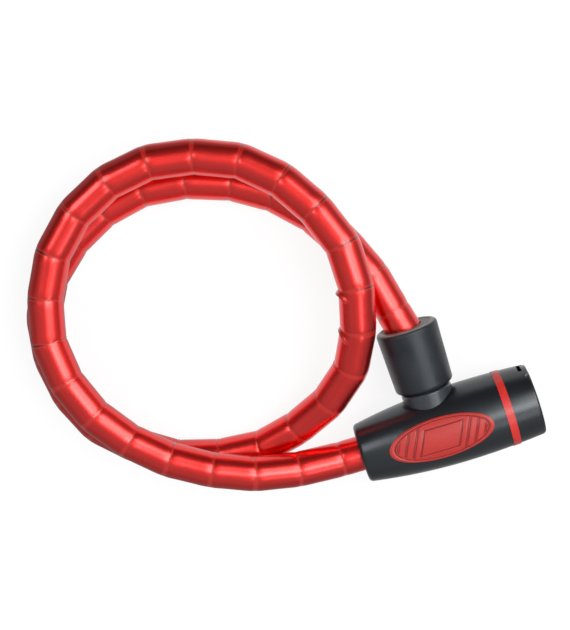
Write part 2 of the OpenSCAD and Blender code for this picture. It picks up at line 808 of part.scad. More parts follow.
barrel_shell();
key_end_cap();
accent_ring();
badge();
lock_housing();
socket_neck();
neck_seal();
cylinder_body();
cylinder_screw();
driver_pins();
pin_springs();
key_plug();
key_pins();
drive_cam();
cam_screw();
latch();
latch_spring();
dust_cover();
hinge_pin();
fixed_crimp();
fixed_crimp_pin();
locking_pin();
collar();
collar_bush();
plug_crimp();
plug_crimp_pin();
wire_rope();
wire_rope_tail();
armour_shells();
armour_shells_tail();
cable_sleeve();
cable_sleeve_tail();
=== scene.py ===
"""Looks of an armoured key cable lock: its sleeve, badge, finishes, table and studio light."""

import json
import math

import bpy
import numpy as np
from mathutils import Matrix, Vector


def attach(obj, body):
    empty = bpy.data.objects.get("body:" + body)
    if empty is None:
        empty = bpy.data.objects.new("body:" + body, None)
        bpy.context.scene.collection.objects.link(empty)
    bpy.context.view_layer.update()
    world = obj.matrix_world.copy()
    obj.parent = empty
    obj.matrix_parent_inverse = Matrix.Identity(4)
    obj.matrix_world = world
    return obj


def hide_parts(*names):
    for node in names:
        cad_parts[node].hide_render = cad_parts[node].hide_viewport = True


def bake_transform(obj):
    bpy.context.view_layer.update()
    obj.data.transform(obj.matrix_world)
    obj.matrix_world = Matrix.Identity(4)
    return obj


MM = 0.001
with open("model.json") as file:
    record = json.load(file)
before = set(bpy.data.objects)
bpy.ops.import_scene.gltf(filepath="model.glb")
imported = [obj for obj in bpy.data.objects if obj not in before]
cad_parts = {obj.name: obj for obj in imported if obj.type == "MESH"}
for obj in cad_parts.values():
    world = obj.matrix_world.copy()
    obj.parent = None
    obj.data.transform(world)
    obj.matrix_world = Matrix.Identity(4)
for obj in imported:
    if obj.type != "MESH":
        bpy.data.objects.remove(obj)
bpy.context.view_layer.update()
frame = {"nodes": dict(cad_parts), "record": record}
nodes = frame["nodes"]


# ---- Camera ----

# The picture is 570 by 630 pixels, and its long side is the one that the sensor width stands for
PICTURE_LONG_SIDE = 630
FOCAL_LENGTH_PX = 1500
SENSOR_WIDTH = 36
CAMERA_AT = Vector((-20.12, 187.34, 765.20)) * MM
CAMERA_LOOKS_AT = Vector((-62.21, 59.15, 0)) * MM
# The barrel points this far above the picture's horizontal
BARREL_TILT = math.radians(18.18)
PICTURE_RIGHT = Vector((math.cos(BARREL_TILT), -math.sin(BARREL_TILT), 0))
PICTURE_UP = Vector((math.sin(BARREL_TILT), math.cos(BARREL_TILT), 0))


def facing(place, target, right):
    """The matrix of a camera or lamp at place that looks at target, with right along its own X."""
    back = (place - target).normalized()
    across = (right - right.dot(back) * back).normalized()
    up = back.cross(across)
    return Matrix.Translation(place) @ Matrix((across, up, back)).transposed().to_4x4()


def make_camera():
    data = bpy.data.cameras.new("camera")
    data.sensor_width = SENSOR_WIDTH
    data.lens = SENSOR_WIDTH * FOCAL_LENGTH_PX / PICTURE_LONG_SIDE
    data.clip_start, data.clip_end = 0.01, 60
    camera = bpy.data.objects.new("camera", data)
    camera.matrix_world = facing(CAMERA_AT, CAMERA_LOOKS_AT, PICTURE_RIGHT)
    bpy.context.scene.collection.objects.link(camera)
    bpy.context.scene.camera = camera


make_camera()


# ---- Node helpers ----


def add_node(tree, kind, inputs=(), **settings):
    """A node with its settings, and its inputs by name or number: a socket is linked, a value is set."""
    made = tree.nodes.new(kind)
    for name, value in settings.items():
        setattr(made, name, value)
    for key, value in dict(inputs).items():
        socket = made.inputs[key]
        if isinstance(value, bpy.types.NodeSocket):
            tree.links.new(value, socket)
        else:
            socket.default_value = value
    return made


def maths(tree, operation, a, b=0.0, c=0.0):
    """The result of a Math node."""
    return add_node(tree, "ShaderNodeMath", {0: a, 1: b, 2: c}, operation=operation).outputs[0]


def times(tree, first, *others):
    """The product of two or more numbers."""
    for value in others:
        first = maths(tree, "MULTIPLY", first, value)
    return first


def vector_maths(tree, operation, a, b=(0, 0, 0), output=0):
    """The result of a Vector Math node. Its output 1 is the number that some operations give."""
    return add_node(tree, "ShaderNodeVectorMath", {0: a, 1: b}, operation=operation).outputs[output]


def scaled(tree, vector, factor):
    """A vector times a number."""
    inputs = {0: vector, "Scale": factor}
    return add_node(tree, "ShaderNodeVectorMath", inputs, operation="SCALE").outputs[0]


def ramp(tree, value, low, high, to_low, to_high, smooth=False):
    """Value mapped from low..high to to_low..to_high, and clamped there."""
    return add_node(
        tree,
        "ShaderNodeMapRange",
        {0: value, 1: low, 2: high, 3: to_low, 4: to_high},
        interpolation_type="SMOOTHSTEP" if smooth else "LINEAR",
    ).outputs[0]


def geometry_tree(name, sizes):
    """An empty Geometry Nodes tree with a geometry input and output, and one input for each size."""
    tree = bpy.data.node_groups.new(name, "GeometryNodeTree")
    tree.interface.new_socket("Geometry", in_out="INPUT", socket_type="NodeSocketGeometry")
    for size, kind in sizes.items():
        tree.interface.new_socket(size, in_out="INPUT", socket_type=kind)
    tree.interface.new_socket("Geometry", in_out="OUTPUT", socket_type="NodeSocketGeometry")
    return tree, tree.nodes.new("NodeGroupInput"), tree.nodes.new("NodeGroupOutput")


def grown(name, tree, base, values):
    """A plain mesh object: the result of the tree on the base mesh, with its named inputs set."""
    seed = bpy.data.objects.new(name + "_base", base)
    bpy.context.scene.collection.objects.link(seed)
    modifier = seed.modifiers.new("grow", "NODES")
    modifier.node_group = tree
    sockets = {s.name: s.identifier for s in tree.interface.items_tree if s.in_out == "INPUT"}
    for label, value in values.items():
        modifier[sockets[label]] = value
    bpy.context.view_layer.update()
    graph = bpy.context.evaluated_depsgraph_get()
    mesh = bpy.data.meshes.new_from_object(seed.evaluated_get(graph), depsgraph=graph)
    mesh.name = name
    seed.modifiers.remove(modifier)
    bpy.data.objects.remove(seed)
    made = bpy.data.objects.new(name, mesh)
    bpy.context.scene.collection.objects.link(made)
    return made


# ---- Finishes ----

# The gloss of the dark pieces is a little blue
COOL = (0.9, 0.97, 1.0)
# How far out the plug's collar reaches, where the cable goes in
COLLAR_END = 38.15 * MM


def principled(name):
    """A new material, its tree and its Principled shader."""
    material = bpy.data.materials.new(name)
    material.use_nodes = True
    tree = material.node_tree
    return material, tree, tree.nodes["Principled BSDF"]


def set_values(shader, values):
    """Sets inputs of the shader that are the same all over."""
    for name, value in values.items():
        shader.inputs[name].default_value = value


def rgba(colour, factor=1.0):
    return (*(min(1.0, c * factor) for c in colour), 1.0)


def mix_colour(tree, share, a, b):
    """Colour a, and colour b where share is 1."""
    return add_node(tree, "ShaderNodeMix", {0: share, 6: a, 7: b}, data_type="RGBA").outputs[2]


def uneven_colour(tree, tone, colour, darkest, lightest):
    """A colour times darkest to lightest, as a noise's tone goes."""
    return mix_colour(tree, by_tone(tree, tone, 0, 1), rgba(colour, darkest), rgba(colour, lightest))


def noise(tree, place, scale, detail):
    """A soft noise, most of which lies from 0.3 to 0.7. scale is in patches per unit of place."""
    return add_node(
        tree, "ShaderNodeTexNoise", {"Vector": place, "Scale": scale, "Detail": detail}
    ).outputs[0]


def by_tone(tree, tone, low, high):
    """A noise's usual range mapped to low..high."""
    return ramp(tree, tone, 0.3, 0.7, low, high)


def two_noises(tree, coarse, fine, coarse_share):
    """One tone out of two noises."""
    coarse_part = maths(tree, "MULTIPLY", coarse, coarse_share)
    return maths(tree, "ADD", coarse_part, maths(tree, "MULTIPLY", fine, 1 - coarse_share))


def bump(tree, height, depth):
    return add_node(tree, "ShaderNodeBump", {"Height": height, "Distance": depth}).outputs[0]


def object_place(tree):
    return add_node(tree, "ShaderNodeTexCoord").outputs["Object"]


def piece_value(tree, name, output="Fac"):
    """What the piece's own mesh holds under this name."""
    return add_node(tree, "ShaderNodeAttribute", attribute_name=name).outputs[output]


def finish(name, colour, metal=0.0, rough=0.5, grain=900, depth=0.02, uneven=0.12, blotch=0.12, **gloss):
    """A plastic, rubber or metal: uneven colour and gloss in patches, and a fine grain in relief.

    grain is in bumps per metre and depth in millimetres. uneven and blotch are how far colour and
    roughness vary. gloss may hold coat, shine, sheen and tint, which are the same all over."""
    patches_per_metre = 60
    material, tree, shader = principled(name)
    place = object_place(tree)
    patches = noise(tree, place, patches_per_metre, detail=4)
    fine = noise(tree, place, grain, detail=3)
    tone = two_noises(tree, patches, fine, 0.6)
    shade = uneven_colour(tree, tone, colour, 1 - uneven, 1 + uneven)
    tree.links.new(shade, shader.inputs["Base Color"])
    spread = rough * blotch
    tree.links.new(by_tone(tree, tone, rough - spread, rough + spread), shader.inputs["Roughness"])
    tree.links.new(bump(tree, fine, depth * MM), shader.inputs["Normal"])
    set_values(
        shader,
        {
            "Metallic": metal,
            "Specular IOR Level": gloss.get("shine", 0.5),
            "Specular Tint": rgba(gloss.get("tint", (1, 1, 1))),
            "Coat Weight": gloss.get("coat", 0.0),
            "Coat Roughness": 0.2,
            "Sheen Weight": gloss.get("sheen", 0.0),
            "Sheen Roughness": 0.35,
        },
    )
    return material


def sleeve_finish():
    """Red vinyl drawn tight over bright steel shells, and plain vinyl where it spans a joint or a fold."""
    shell_red = (0.89, 0.010, 0.005)
    seam_red = (0.58, 0.016, 0.010)
    # the painted shade inside an open gap between two shells
    gap_shade_red = (0.020, 0.001, 0.001)
    seam_half_width, seam_fade = 0.35 * MM, 0.9 * MM
    gap_half_width, gap_fade = 0.24 * MM, 0.2 * MM
    patches_per_metre, grain, grain_depth = 90, 1400, 0.006 * MM
    over_shell, over_seam = 0.97, 0.15
    material, tree, shader = principled("red vinyl over bright shells")
    place = object_place(tree)
    to_joint = piece_value(tree, "to_joint")
    parted = piece_value(tree, "parted")

    # streaks run along the cable: their place changes fast round it and slowly along it
    streaks = noise(tree, piece_value(tree, "streak_place", "Vector"), 1.0, detail=2)
    tone = two_noises(tree, streaks, noise(tree, place, patches_per_metre, detail=3), 0.5)
    over_shells = uneven_colour(tree, tone, shell_red, 0.92, 1.06)

    seam = ramp(tree, to_joint, seam_half_width, seam_half_width + seam_fade, 1, 0, smooth=True)
    on_fold = ramp(tree, piece_value(tree, "lip"), 0.1, 0.4, 0, 1, smooth=True)
    seam = maths(tree, "MAXIMUM", seam, on_fold)

    # the open gap between two shells shows as a thin line of painted shade on the outside of some bends
    from_gap = maths(tree, "SUBTRACT", to_joint, times(tree, parted, gap_half_width))
    gap = times(
        tree,
        ramp(tree, from_gap, 0, gap_fade, 1, 0, smooth=True),
        ramp(tree, piece_value(tree, "outer"), -0.1, 0.6, 0, 1, smooth=True),
        ramp(tree, parted, 0, 0.5, 0, 0.95),
    )
    colour = mix_colour(tree, gap, mix_colour(tree, seam, over_shells, rgba(seam_red)), rgba(gap_shade_red))
    tree.links.new(colour, shader.inputs["Base Color"])
    tree.links.new(ramp(tree, seam, 0, 1, over_shell, over_seam), shader.inputs["Metallic"])
    tree.links.new(by_tone(tree, tone, 0.32, 0.37), shader.inputs["Roughness"])
    fine = noise(tree, place, grain, detail=2)
    tree.links.new(bump(tree, fine, grain_depth), shader.inputs["Normal"])
    set_values(
        shader,
        {
            "Specular Tint": (0.7, 0.19, 0.165, 1),
            "Coat Weight": 1.0,
            "Coat Roughness": 0.23,
            "Coat IOR": 1.62,
        },
    )
    return material


def cover_colour(material, share, colour):
    """Lays another colour over a finish, by a share from 0 to 1."""
    tree = material.node_tree
    base = tree.nodes["Principled BSDF"].inputs["Base Color"]
    tree.links.new(mix_colour(tree, share, base.links[0].from_socket, rgba(colour)), base)


def badge_finish():
    """Satin red plastic, with painted shade in the grooves of its relief."""
    red = (0.53, 0.032, 0.026)
    # the painted shade in the grooves
    groove_shade_red = (0.22, 0.010, 0.010)
    material = finish("badge plastic", red, rough=0.4, grain=1300, depth=0.012, uneven=0.1)
    # paints shade into the grooves, darker where a groove is deeper
    cover_colour(material, piece_value(material.node_tree, "groove"), groove_shade_red)
    return material


def grip_finish():
    """Dark blotchy soft-touch plastic, with a painted reflection of the bright table in pale patches on
    the end face that the cable goes into.
    """
    dark = (0.0155, 0.0185, 0.0235)
    # the pale grey of the painted reflection of the table, and how far out it starts and is full
    table_reflection_grey = (0.30, 0.30, 0.275)
    reflection_starts, reflection_is_full = COLLAR_END - 0.8 * MM, COLLAR_END - 0.1 * MM
    patches_per_metre, least_reflection = 220, 0.6
    material = finish(
        "grey grip plastic", dark, rough=0.4, grain=2200, uneven=0.45, blotch=0.4, tint=COOL
    )
    tree = material.node_tree
    place = object_place(tree)
    outwards = add_node(tree, "ShaderNodeSeparateXYZ", {0: place}).outputs["Y"]
    on_end_face = ramp(tree, outwards, reflection_starts, reflection_is_full, 0, 1, smooth=True)
    patches = noise(tree, place, patches_per_metre, detail=3)
    # paints the table's reflection onto the end face, in patches
    cover_colour(material, times(tree, on_end_face, ramp(tree, patches, 0.3, 0.6, least_reflection, 1)), table_reflection_grey)
    return material


FINISHES = {
    "black_plastic": finish(
        "black satin plastic",
        (0.0080, 0.0095, 0.0125),
        rough=0.3,
        grain=1600,
        depth=0.012,
        shine=0.78,
        sheen=0.06,
        tint=COOL,
    ),
    "ring_red": finish(
        "red ring plastic", (0.68, 0.034, 0.026), rough=0.3, grain=900, depth=0.006, uneven=0.05
    ),
    "badge_red": badge_finish(),
    "neck_steel": finish(
        "dark plated steel",
        (0.034, 0.038, 0.046),
        rough=0.3,
        grain=1500,
        depth=0.006,
        coat=0.3,
        tint=COOL,
    ),
    "collar_grip": grip_finish(),
    "bush_plastic": finish("grey bush plastic", (0.20, 0.20, 0.185), rough=0.5, grain=1200),
    "seal_rubber": finish("black rubber", (0.012, 0.012, 0.012), rough=0.75, grain=1500),
    "cast_zinc": finish("cast zinc", (0.42, 0.43, 0.45), metal=1, rough=0.45, grain=700, depth=0.04),
    "brass": finish("turned brass", (0.72, 0.52, 0.24), metal=1, rough=0.3, grain=900, depth=0.01),
    "spring_steel": finish("spring wire", (0.6, 0.61, 0.63), metal=1, rough=0.25, grain=900, depth=0.005),
    "screw_steel": finish(
        "blackened steel", (0.13, 0.13, 0.14), metal=1, rough=0.42, grain=900, depth=0.008
    ),
    "latch_steel": finish(
        "hardened steel", (0.42, 0.42, 0.43), metal=1, rough=0.35, grain=800, depth=0.01
    ),
    "pin_steel": finish(
        "bright plated steel", (0.75, 0.76, 0.78), metal=1, rough=0.16, grain=600, depth=0.004
    ),
    "rope_steel": finish("rope wire", (0.45, 0.46, 0.48), metal=1, rough=0.35, grain=900, depth=0.02),
    "armour_steel": finish(
        "bright shell steel", (0.6, 0.6, 0.62), metal=1, rough=0.25, grain=700, depth=0.01
    ),
    "sleeve_vinyl": sleeve_finish(),
}


def dress_nodes():
    """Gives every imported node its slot's finish."""
    for part in frame["record"]["subparts"]:
        mesh = nodes[part["node"]].data
        mesh.materials.clear()
        mesh.materials.append(FINISHES[part["material_slot"]])


dress_nodes()


# ---- Cable ----

# The joints between the armour shells, from the lock head to the plug, measured from the middle
# of the barrel's cable end, in millimetres
ROUTE = [
    (9, 0, 20), (-10.5, 0.5, 20.5), (-33, 3, 23.5), (-54.5, 8.5, 26.5),
    (-74.5, 17.5, 27.5), (-93.5, 29.5, 27.5), (-109.5, 45, 27.5), (-122, 63, 27.5),
    (-129.5, 84, 27.5), (-131, 106, 27.5), (-125, 127.5, 27.5), (-114, 147, 27.5),
    (-97, 162.5, 27.5), (-76.5, 172, 27.5), (-54.5, 175, 27.5), (-32.5, 171, 27.5),
    (-11.5, 162, 28.5), (5, 147, 31), (16.5, 128.5, 34), (24, 108, 37),
    (24, 86, 37.5), (18.5, 65, 34.5), (9, 46, 28.5), (-7.5, 31.5, 22),
    (-27, 22, 15), (-48, 16.5, 10), (-70.5, 18.5, 9), (-92, 25, 9),
    (-110, 37.5, 9), (-125.5, 53.5, 9), (-134, 73.5, 9), (-136.5, 95, 9),
    (-133, 116, 9), (-122.5, 134.5, 9), (-105.5, 149, 9), (-86, 158.5, 9),
    (-64, 162.5, 9), (-41.5, 159.5, 9), (-20, 151.5, 9), (-1.5, 139.5, 9.5),
    (14, 123.5, 12), (25, 105.5, 16), (33, 86.5, 19), (37.5, 66, 20),
    (42.2, 46, 20),
]
CABLE_END_OF_BARREL = Vector((-46.5, -18.15, 0)) * MM
# The middle of the barrel's mouth, which is as high as its axis
BARREL_MOUTH = CABLE_END_OF_BARREL + Vector((0, 0, 20 * MM))
JOINTS = [CABLE_END_OF_BARREL + Vector(point) * MM for point in ROUTE]
LAST_JOINT = len(JOINTS) - 1
# The joint at which the free end begins
TAIL_START = 32
CABLE_D = 18 * MM

# How far the vinyl folds up on the inside of a bend, from 0 to 1: at the joints where it shows, and
# at all the others
FOLDED = {
    3: 0.3, 4: 0.35, 5: 0.35, 9: 0.2, 10: 0.25, 20: 1.0, 21: 1.0, 22: 0.25, 23: 0.2, 26: 0.3, 27: 0.25,
}
PLAIN_FOLD = 0.12
# A fold of this much or more is a long one: it runs slanting over the link that follows its joint
LONG_FOLD = 0.9
# How far a long fold faces up as well as to the inside of the bend
LONG_FOLD_UP = 0.2
# How far the shells stand apart on the outside of a bend, from 0 to 1: at the joints where it shows,
# and at all the others
PARTED = {
    1: 0.3, 9: 1.0, 10: 0.7, 11: 0.9, 12: 0.35, 16: 0.3, 17: 0.4, 18: 0.6, 19: 0.4, 20: 0.5, 21: 0.4,
    33: 0.5,
}
PLAIN_GAP = 0.12
# How far from each joint the sleeve starts to round the corner
CORNER = 2.4 * MM

# How far the sleeve's rings stand from a joint
RINGS_FROM_JOINT = [d * MM for d in (0, 0.15, 0.35, 0.65, 1.0, 1.4, 1.8, 2.3, 3.0, 4.2, 6, 8)]
# Under a long fold they stand evenly
LONG_FOLD_STEP = 0.35 * MM
LONG_FOLD_STEPS = 24

SLEEVE_SIZES = {
    "Radius": CABLE_D / 2,
    "Sides": 72,
    "Joint Dip": 0.26 * MM,
    "Dip Width": 1.5 * MM,
    "Shell Swell": 0.03 * MM,
    "Fold Height": 2.3 * MM,
    "Fold Width": 0.8 * MM,
    # along the link for each millimetre up
    "Fold Lean": 0.6,
    "Fold Slant": 8 * MM,
    "Waviness": 0.16 * MM,
    "Material": FINISHES["sleeve_vinyl"],
}


def is_long_fold(joint):
    return FOLDED.get(joint, 0) >= LONG_FOLD


def ring_distances(length, long_fold):
    """Places of the rings along one link, closest together at its two joints and under a long fold."""
    half = length / 2
    last = [d for d in RINGS_FROM_JOINT if d < half - MM]
    first = [LONG_FOLD_STEP * k for k in range(LONG_FOLD_STEPS)] if long_fold else last
    return first + [half] + [length - d for d in reversed(last)]


def bend_at(joint):
    """A vector that points away from the inside of the bend at a joint, as long as the bend is sharp."""
    if joint in (0, LAST_JOINT):
        return Vector((0, 0, 0))
    before = (JOINTS[joint] - JOINTS[joint - 1]).normalized()
    after = (JOINTS[joint + 1] - JOINTS[joint]).normalized()
    return before - after


def rounded(joint, side, distance):
    """A place on the curve that rounds a joint's corner, before it (side -1) or after it (side 1).

    There is none farther from the joint, or at the cable's two ends."""
    if joint in (0, LAST_JOINT) or distance >= CORNER:
        return None
    before = (JOINTS[joint - 1] - JOINTS[joint]).normalized() * CORNER
    after = (JOINTS[joint + 1] - JOINTS[joint]).normalized() * CORNER
    t = 0.5 + side * 0.5 * distance / CORNER
    return JOINTS[joint] + before * (1 - t) ** 2 + after * t**2


def ring_at(link, distance):
    """What the sleeve needs to know at a distance along a link."""
    start, end = JOINTS[link], JOINTS[link + 1]
    length = (end - start).length
    if distance < length / 2:
        joint, side, to_joint = link, 1, distance
    else:
        joint, side, to_joint = link + 1, -1, length - distance
    bend = bend_at(joint)
    if is_long_fold(joint):
        bend -= Vector((0, 0, LONG_FOLD_UP))
    return {
        "centre": rounded(joint, side, to_joint) or start.lerp(end, distance / length),
        "bend": bend,
        "ahead": (end - start) / length,
        "to_joint": to_joint,
        "past_joint": side * to_joint,
        "parted": PARTED.get(joint, PLAIN_GAP),
        "fold": FOLDED.get(joint, PLAIN_FOLD),
    }


def centreline(first, last):
    """A mesh line through the centres of the sleeve's rings, from one joint to another."""
    rings = []
    for link in range(first, last):
        length = (JOINTS[link + 1] - JOINTS[link]).length
        distances = ring_distances(length, is_long_fold(link))
        # a link's first ring is the last one of the link before
        rings += [ring_at(link, distance) for distance in distances[0 if link == first else 1 :]]
    mesh = bpy.data.meshes.new("centreline")
    edges = [(k, k + 1) for k in range(len(rings) - 1)]
    mesh.from_pydata([ring["centre"] for ring in rings], edges, [])
    for name, sample in rings[0].items():
        kind, field = ("FLOAT_VECTOR", "vector") if isinstance(sample, Vector) else ("FLOAT", "value")
        values = np.array([ring[name] for ring in rings], np.float32)
        mesh.attributes.new(name, kind, "POINT").data.foreach_set(field, values.ravel())
    return mesh


def bell(tree, distance, width):
    """exp(-(distance / width) ** 2)"""
    share = maths(tree, "DIVIDE", distance, width)
    return maths(tree, "EXPONENT", times(tree, share, share, -1.0))


def sleeve_tree():
    """A round sleeve along a line of links: it dips over each joint and folds up inside the bends."""
    other_kinds = {"Sides": "NodeSocketInt", "Material": "NodeSocketMaterial"}
    sockets = {size: other_kinds.get(size, "NodeSocketFloat") for size in SLEEVE_SIZES}
    tree, given, result = geometry_tree("sleeve over shells", sockets)
    size = given.outputs

    def read(name, kind="FLOAT"):
        made = add_node(tree, "GeometryNodeInputNamedAttribute", {"Name": name}, data_type=kind)
        return made.outputs["Attribute"]

    def store(geometry, name, value, kind="FLOAT"):
        return add_node(
            tree,
            "GeometryNodeStoreNamedAttribute",
            {"Geometry": geometry, "Name": name, "Value": value},
            data_type=kind,
            domain="POINT",
        ).outputs[0]

    line = add_node(tree, "GeometryNodeMeshToCurve", {0: size["Geometry"]}).outputs[0]
    line = add_node(tree, "GeometryNodeSetCurveNormal", {0: line}, mode="Z_UP").outputs[0]
    circle = add_node(
        tree, "GeometryNodeCurvePrimitiveCircle", {"Resolution": size["Sides"], "Radius": size["Radius"]}
    ).outputs[0]
    tube = add_node(
        tree, "GeometryNodeCurveToMesh", {"Curve": line, "Profile Curve": circle, "Fill Caps": True}
    ).outputs[0]

    place = tree.nodes.new("GeometryNodeInputPosition").outputs[0]
    centre = read("centre", "FLOAT_VECTOR")
    radial = vector_maths(tree, "NORMALIZE", vector_maths(tree, "SUBTRACT", place, centre))
    to_joint = read("to_joint")

    # from -1 on the inside of a sharp bend to 1 on its outside, and 0 where the cable is straight
    sharp_bend = 0.28
    outer = vector_maths(tree, "DOT_PRODUCT", radial, read("bend", "FLOAT_VECTOR"), output=1)
    outer = maths(tree, "DIVIDE", outer, sharp_bend)
    outer = maths(tree, "MAXIMUM", maths(tree, "MINIMUM", outer, 1.0), -1.0)
    inner = maths(tree, "MAXIMUM", maths(tree, "MULTIPLY", outer, -1.0), 0.0)

    # the sleeve dips at the joint, most on the inside of the bend, and swells a little beside it
    plain_dip, less_outside, dip_widths_to_swell = 0.7, -0.3, 2.6
    dip = times(tree, bell(tree, to_joint, size["Dip Width"]), size["Joint Dip"])
    dip = times(tree, dip, maths(tree, "MULTIPLY_ADD", outer, less_outside, plain_dip))
    swell_at = maths(tree, "MULTIPLY", size["Dip Width"], dip_widths_to_swell)
    from_swell = maths(tree, "SUBTRACT", to_joint, swell_at)
    swell = times(tree, bell(tree, from_swell, size["Dip Width"]), size["Shell Swell"])

    # a long fold starts at the joint, at the side of the cable, slants away from it over the top
    # and runs out there
    runs_out_from, runs_out_at = 0.72, 0.95
    high = add_node(tree, "ShaderNodeSeparateXYZ", {0: radial}).outputs["Z"]
    high = maths(tree, "MAXIMUM", high, 0.0)
    is_long = maths(tree, "GREATER_THAN", read("fold"), LONG_FOLD - 0.01)
    slant = times(tree, high, high, size["Fold Slant"], is_long)
    from_crest = maths(tree, "SUBTRACT", read("past_joint"), slant)
    lip = times(
        tree,
        maths(tree, "POWER", inner, 2.0),
        read("fold"),
        bell(tree, from_crest, size["Fold Width"]),
        ramp(tree, high, runs_out_from, runs_out_at, 1, 0, smooth=True),
    )
    fold = times(tree, lip, size["Fold Height"])

    waves_per_metre = 70.0
    waves = noise(tree, place, waves_per_metre, detail=1.0)
    waves = times(tree, maths(tree, "SUBTRACT", waves, 0.5), size["Waviness"])
    lift = maths(tree, "ADD", maths(tree, "SUBTRACT", swell, dip), maths(tree, "ADD", fold, waves))
    # a fold leans over the link that follows it
    lean = scaled(tree, read("ahead", "FLOAT_VECTOR"), times(tree, fold, size["Fold Lean"]))
    offset = vector_maths(tree, "ADD", scaled(tree, radial, lift), lean)
    tube = add_node(tree, "GeometryNodeSetPosition", {"Geometry": tube, "Offset": offset}).outputs[0]

    # the place that the streaks follow changes fast round the cable, per radian, and slowly along it,
    # per metre
    round_rate, along_rate = 5.0, 22.0
    streak_place = vector_maths(
        tree, "ADD", scaled(tree, radial, round_rate), scaled(tree, centre, along_rate)
    )
    tube = store(tube, "outer", outer)
    tube = store(tube, "lip", lip)
    tube = store(tube, "streak_place", streak_place, "FLOAT_VECTOR")
    tube = add_node(tree, "GeometryNodeSetShadeSmooth", {0: tube}).outputs[0]
    tube = add_node(tree, "GeometryNodeRealizeInstances", {0: tube}).outputs[0]
    tube = add_node(tree, "GeometryNodeSetMaterial", {0: tube, "Material": size["Material"]}).outputs[0]
    tree.links.new(tube, result.inputs[0])
    return tree


def make_cable():
    """The sleeved cable in two pieces: one rides on the head, and the other is the free end."""
    tree = sleeve_tree()
    main = grown("sleeve", tree, centreline(0, TAIL_START), SLEEVE_SIZES)
    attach(main, "head")
    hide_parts("cable_sleeve")
    tail = grown("sleeve_free_end", tree, centreline(TAIL_START, LAST_JOINT), SLEEVE_SIZES)
    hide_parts("cable_sleeve_tail", "armour_shells_tail", "wire_rope_tail")
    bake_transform(tail)


make_cable()


# ---- Badge ----

BADGE_X = 41.3 * MM + CABLE_END_OF_BARREL.x
BADGE_LEN = 54 * MM
BADGE_W = 21 * MM


def barrel_radius(x):
    """The barrel's outer radius at a distance from its cable end."""
    end_r, max_r, key_r, belly, length = 15 * MM, 20 * MM, 18.25 * MM, 55 * MM, 93 * MM
    if x < belly:
        return max_r - (max_r - end_r) * ((belly - x) / belly) ** 2
    return max_r - (max_r - key_r) * ((x - belly) / (length - belly)) ** 2


def rise(value, low, high):
    """A smooth step from 0 at low to 1 at high."""
    t = min(1.0, max(0.0, (value - low) / (high - low)))
    return t * t * (3 - 2 * t)


def ridge(distance, full, foot):
    """1 up to a distance of full from the middle of a line, and 0 from foot on."""
    return 1 - rise(abs(distance), full, foot)


def badge_relief(u, v):
    """The badge's height over the barrel and the depth of its grooves, from 0 to 1.

    u and v are the place on the oval, both from -1 to 1."""
    face, rim_up, groove_down, bar_up = 0.34 * MM, 0.14 * MM, 0.24 * MM, 0.1 * MM
    rim_at, rim_groove_at = 0.955, 0.9
    slant_of_bars, pitch, groove_phase = 0.45, 4.6 * MM, 0.82
    middle_half_len, middle_half_w = 10 * MM, 6.2 * MM
    bars_from, bars_full = 11.2 * MM, 11.6 * MM
    bars_end_from, bars_end_at = 0.86, 0.885
    reach = math.hypot(u, v)
    inside = 1 - rise(reach, bars_end_from, bars_end_at)
    # slanting bars at either end, with a plain middle between them
    along = u * BADGE_LEN / 2 - slant_of_bars * v * BADGE_W / 2
    phase = abs((abs(along) / pitch) % 1.0 - 0.5) * 2
    ends = rise(abs(along), bars_from, bars_full)
    between_bars = ends * inside * ridge(phase - groove_phase, 0.06, 0.16)
    # a groove round the plain middle, and one inside the rim
    middle = max(abs(along) / middle_half_len, abs(v) * BADGE_W / 2 / middle_half_w)
    round_middle = inside * ridge(middle - 1, 0.025, 0.065)
    by_rim = ridge(reach - rim_groove_at, 0.008, 0.022)
    groove = max(between_bars, round_middle, by_rim)
    height = face + rim_up * ridge(reach - rim_at, 0.012, 0.03)
    height += bar_up * inside * ends * (1 - rise(phase, 0.62, 0.78))
    return height - groove_down * groove, groove


